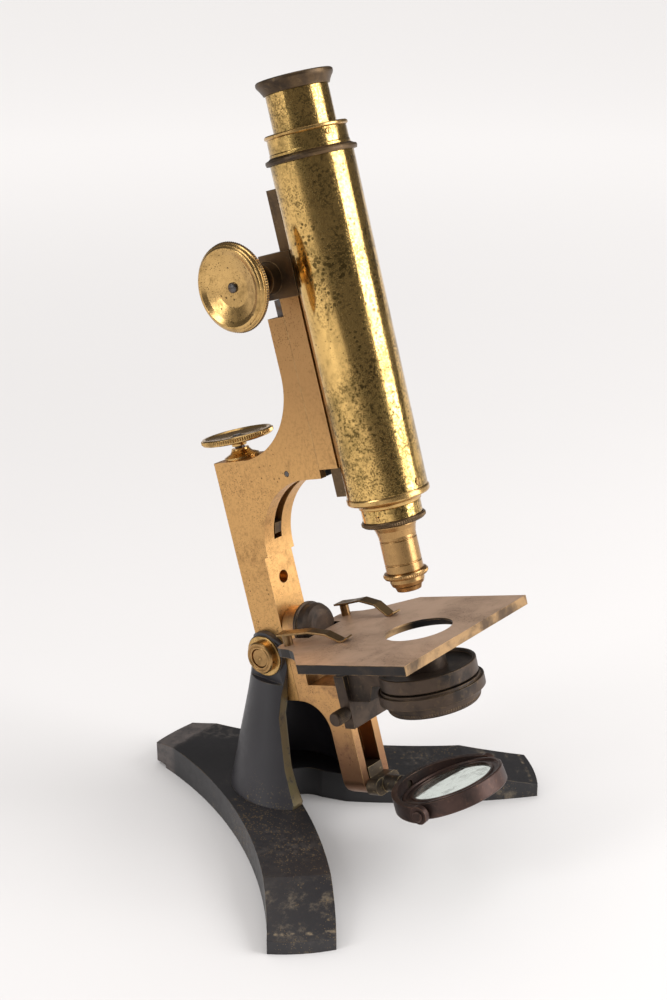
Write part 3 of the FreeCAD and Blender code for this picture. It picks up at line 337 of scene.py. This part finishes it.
LOOKS = {
    "tube": brass("tube_brass", GOLD, DULL_GOLD, OLIVE, 0.09, speck=1.1, patch=0.6, mottle=0.85),
    # the limb's brass carries a painted shade that darkens it towards its top
    "limb": brass("limb_brass", ORANGE, DULL_ORANGE, RUST, 0.36, speck=0.5, patch=0.35, wear=0.5,
                  worn=(0.85, 0.55, 0.25), brushed=0.6, mottle=0.22,
                  shade=(0.17, 0.24, 0.75, (0.34, 0.185, 0.078))),
    "knob": brass("knob_brass", (0.60, 0.38, 0.145), (0.34, 0.21, 0.075), (0.04, 0.026, 0.012), 0.20,
                  speck=0.55, patch=0.55, wear=0.6),
    "clip": brass("clip_brass", (0.30, 0.19, 0.09), (0.16, 0.10, 0.05), (0.04, 0.026, 0.012), 0.30,
                  speck=0.4, patch=0.6, wear=0.7, worn=(0.55, 0.36, 0.16)),
    "copper": brass("objective_brass", (0.44, 0.26, 0.105), (0.25, 0.15, 0.06), RUST, 0.26, speck=0.5,
                    patch=0.4, wear=0.4, brushed=0.2),
    "stage": stage_bronze("stage_bronze"),
    "dark": bronze("dark_bronze", UMBER, SOOT, RUBBED, 0.36, 0.6, flecks=0.14),
    "collar": bronze("collar_bronze", (0.12, 0.075, 0.038), (0.04, 0.028, 0.020), RUBBED, 0.3, 0.7, 0.85,
                     flecks=0.25),
    "reddish": bronze("mirror_bronze", (0.080, 0.047, 0.039), (0.030, 0.023, 0.021), (0.32, 0.17, 0.10), 0.33,
                      0.5, flecks=0.2),
    # the tailpiece's brass carries a painted shade that darkens it towards its lower end
    "tail": brass("tail_brass", (0.60, 0.34, 0.14), (0.25, 0.135, 0.080), (0.06, 0.032, 0.02), 0.36,
                  speck=0.5, patch=0.5, wear=0.6, worn=(0.62, 0.38, 0.16),
                  shade=(0.075, 0.040, 0.8, (0.20, 0.10, 0.065))),
    "crusty": bronze("carriage_bronze", (0.105, 0.078, 0.052), (0.045, 0.038, 0.032),
                     (0.46, 0.35, 0.18), 0.36, 0.8, 0.85, flecks=0.4),
    "enamel": enamel("black_enamel", 0.6, (0.017, 0.0155, 0.018), strip=True),
    "worn_enamel": enamel("worn_enamel", 1.0, (0.0115, 0.0105, 0.0115)),
    "steel": steel("dark_steel"),
    "lens": lens_glass("lens_glass"),
    "mirror": mirror_glass("mirror_silvering"),
}

DRESS = {
    "tube": ["main_tube", "draw_tube", "tube_collar", "nosepiece"],
    "copper": ["objective_barrel", "objective_front", "objective_ring", "trunnion_nut", "trunnion_bolt"],
    "limb": ["limb", "guide_block"],
    "knob": ["coarse_knobs", "fine_knob", "fine_collar", "trunnion_washers", "tube_screws",
             "tube_end_ring", "eyepiece_barrel", "collar_top_ring"],
    "clip": ["clip_posts", "stage_clip_near", "stage_clip_far"],
    "stage": ["stage_plate"],
    "collar": ["collar_flare", "nosepiece_ring", "eyepiece_cap", "pinion_housing", "slide_bar",
               "fine_lever"],
    "dark": ["stage_bracket", "substage_slider", "substage_ring", "aperture_tube", "diaphragm_drum",
             "diaphragm_cell", "iris_plate", "clamp_screw"],
    "tail": ["tailpiece"],
    "crusty": ["mirror_carriage"],
    "reddish": ["mirror_fork", "mirror_frame", "fork_pivots"],
    "enamel": ["pillar"],
    "worn_enamel": ["foot"],
    "steel": ["lever_pin", "fine_screw", "slide_tongue", "pinion", "knob_screws", "rack"],
    "lens": ["objective_lens", "eye_lens", "field_lens"],
    "mirror": ["mirror_plane", "mirror_concave"],
}


def dress(piece, look):
    piece.data.materials.clear()
    piece.data.materials.append(LOOKS[look])


for look, names in DRESS.items():
    for name in names:
        dress(NODES[name], look)


# ---------------------------------------------------------------- milled edges
# one ridge's profile, how far a band reaches into its rim, and a direction along no axis
RIDGE = (0.0, 0.5, 1.0, 0.5)
BAND_ROOT = 0.0009
NOT_AN_AXIS = Vector((0.31, 0.93, 0.17))


def milled_band(name, body, look, at, axis, levels, ridges):
    """A closed ring of fine ridges round an axis; levels are (distance along it, radius, depth)."""
    side = axis.cross(NOT_AN_AXIS).normalized()
    across = axis.cross(side)
    steps = ridges * len(RIDGE)
    inner = min(radius for _, radius, _ in levels) - BAND_ROOT
    rings = [(levels[0][0], inner, 0.0), *levels, (levels[-1][0], inner, 0.0)]
    mesh = bmesh.new()
    loops = []
    for height, radius, depth in rings:
        loop = []
        for i in range(steps):
            turn = 2 * math.pi * i / steps
            reach = radius - depth * RIDGE[i % len(RIDGE)]
            out = side * math.cos(turn) + across * math.sin(turn)
            loop.append(mesh.verts.new(at + axis * height + out * reach))
        loops.append(loop)
    for low, high in zip(loops, loops[1:] + loops[:1]):
        for i in range(steps):
            mesh.faces.new((low[i], low[(i + 1) % steps], high[(i + 1) % steps], high[i]))
    bmesh.ops.recalc_face_normals(mesh, faces=mesh.faces[:])
    data = bpy.data.meshes.new(name)
    mesh.to_mesh(data)
    mesh.free()
    piece = bpy.data.objects.new(name, data)
    bpy.context.scene.collection.objects.link(piece)
    dress(piece, look)
    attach(piece, body)


MM = 0.001
# places in the limb's frame: fine screw's column, clamp screw, optical axis
COLUMN_FOOT = Vector((4.1, 0, 99.0)) * MM
CLAMP_FOOT = Vector((46.1, 0, -28.9)) * MM
OPTICAL_FOOT = Vector((90.6, 0, 0)) * MM
NEAR_SIDE = Vector((0, -1, 0))


def in_mm(*levels):
    return [tuple(size * MM for size in level) for level in levels]


def straight_rim(start, end, ease, radius, rise, shallow, deep):
    """Levels of a band, in mm, that rises over its eased ends to a crest with deeper ridges."""
    return in_mm((start, radius, shallow), (start + ease, radius + rise, deep),
                 (end - ease, radius + rise, deep), (end, radius, shallow))


def make_milling():
    """Fine ridges on the rims that the fingers turn."""
    pinion, _ = joint_frame("pinion_turn")
    pinion = Vector((pinion.x, 0.0, pinion.z))
    for name, axis in (("near", NEAR_SIDE), ("far", -NEAR_SIDE)):
        milled_band("coarse_milling_" + name, "pinion_body", "collar", pinion, axis,
                    straight_rim(35.5, 37.2, 0.3, 20.1, 0.45, 0.1, 0.45), 110)
    milled_band("fine_milling", "fine_screw_body", "knob", LIMB @ COLUMN_FOOT, UP_TUBE,
                straight_rim(10.0, 12.0, 0.3, 17.7, 0.45, 0.1, 0.45), 96)
    milled_band("clamp_milling", "clamp_body", "dark", LIMB @ CLAMP_FOOT, NEAR_SIDE,
                straight_rim(15.4, 22.2, 0.4, 3.3, 0.3, 0.05, 0.3), 28)
    optical = LIMB @ OPTICAL_FOOT
    milled_band("nosepiece_milling", "tube_body", "collar", optical, UP_TUBE,
                straight_rim(62.2, 63.9, 0.3, 14.8, 0.4, 0.05, 0.35), 84)
    milled_band("objective_milling", "tube_body", "copper", optical, UP_TUBE,
                straight_rim(36.2, 37.6, 0.2, 10.3, 0.35, 0.05, 0.3), 64)
    # the diaphragm's rim widens upwards
    milled_band("diaphragm_milling", "diaphragm_body", "dark", optical, UP_TUBE,
                in_mm((-27.3, 21.6, 0.05), (-27.0, 22.1, 0.35), (-25.9, 22.5, 0.35), (-25.5, 22.3, 0.05)),
                110)


make_milling()


# ---------------------------------------------------------------- studio
def aim(thing, at, target):
    thing.location = at
    thing.rotation_euler = (Vector(target) - Vector(at)).to_track_quat("-Z", "Y").to_euler()


def softbox(name, at, target, width, height, power):
    lamp = bpy.data.lights.new(name, "AREA")
    lamp.shape, lamp.size, lamp.size_y = "RECTANGLE", width, height
    lamp.energy = power
    thing = bpy.data.objects.new(name, lamp)
    bpy.context.scene.collection.objects.link(thing)
    aim(thing, at, target)


def make_floor():
    half, z = 20.0, size_before[0][2]
    mesh = bpy.data.meshes.new("floor")
    mesh.from_pydata([(-half, -half, z), (half, -half, z), (half, half, z), (-half, half, z)], [],
                     [(0, 1, 2, 3)])
    floor = bpy.data.objects.new("floor", mesh)
    bpy.context.scene.collection.objects.link(floor)
    s = Shader("paper_floor")
    away = s.node("ShaderNodeVectorMath", {0: s.place}, operation="LENGTH").outputs["Value"]
    # painted shade: the floor is darker near the object and fades to its even paper colour further out
    near = s.mix(s.noise(3.0), (0.565, 0.552, 0.548), (0.585, 0.572, 0.568))
    s.set(Base_Color=s.mix(s.ramp(away, 0.25, 2.6), near, (0.93, 0.915, 0.91)), Roughness=0.85)
    mesh.materials.append(s.material)


HEADING, DIP, ROLL = math.radians(38.85), math.radians(20.52), math.radians(-0.27)
CAMERA_AT, LENS = Vector((0.4842, -0.5593, 0.4439)), 58.2
RIGHT = Vector((math.cos(HEADING), math.sin(HEADING), 0))
TOWARDS = Vector((math.sin(HEADING), -math.cos(HEADING), 0))


def make_camera():
    data = bpy.data.cameras.new("camera")
    data.lens, data.sensor_width = LENS, 36.0
    camera = bpy.data.objects.new("camera", data)
    bpy.context.scene.collection.objects.link(camera)
    turn = Matrix.Rotation(HEADING, 4, "Z") @ Matrix.Rotation(math.pi / 2 - DIP, 4, "X")
    camera.matrix_world = Matrix.Translation(CAMERA_AT) @ turn @ Matrix.Rotation(ROLL, 4, "Z")
    bpy.context.scene.camera = camera


def make_light():
    centre = Vector((0.02, 0, 0.18))
    up = Vector((0, 0, 1))
    softbox("key", centre - RIGHT * 1.1 + TOWARDS * 0.65 + up * 0.7, centre, 0.4, 1.1, 8.0)
    softbox("fill", centre + RIGHT * 1.2 + TOWARDS * 0.3 + up * 0.55, centre, 0.85, 1.2, 20)
    softbox("top", centre - TOWARDS * 0.35 + up * 1.5, centre, 1.2, 0.9, 5)
    world = bpy.data.worlds.new("studio")
    bpy.context.scene.world = world
    world.use_nodes = True
    nodes, links = world.node_tree.nodes, world.node_tree.links
    path = nodes.new("ShaderNodeLightPath")
    shade = nodes.new("ShaderNodeMix")
    shade.data_type = "RGBA"
    shade.inputs[6].default_value = (1.03, 1.015, 1.005, 1)
    shade.inputs[7].default_value = (0.14, 0.135, 0.13, 1)
    links.new(path.outputs["Is Glossy Ray"], shade.inputs[0])
    links.new(shade.outputs[2], nodes["Background"].inputs["Color"])
    nodes["Background"].inputs["Strength"].default_value = 1.0


make_floor()
make_camera()
make_light()
bpy.context.scene.view_settings.view_transform = "Standard"
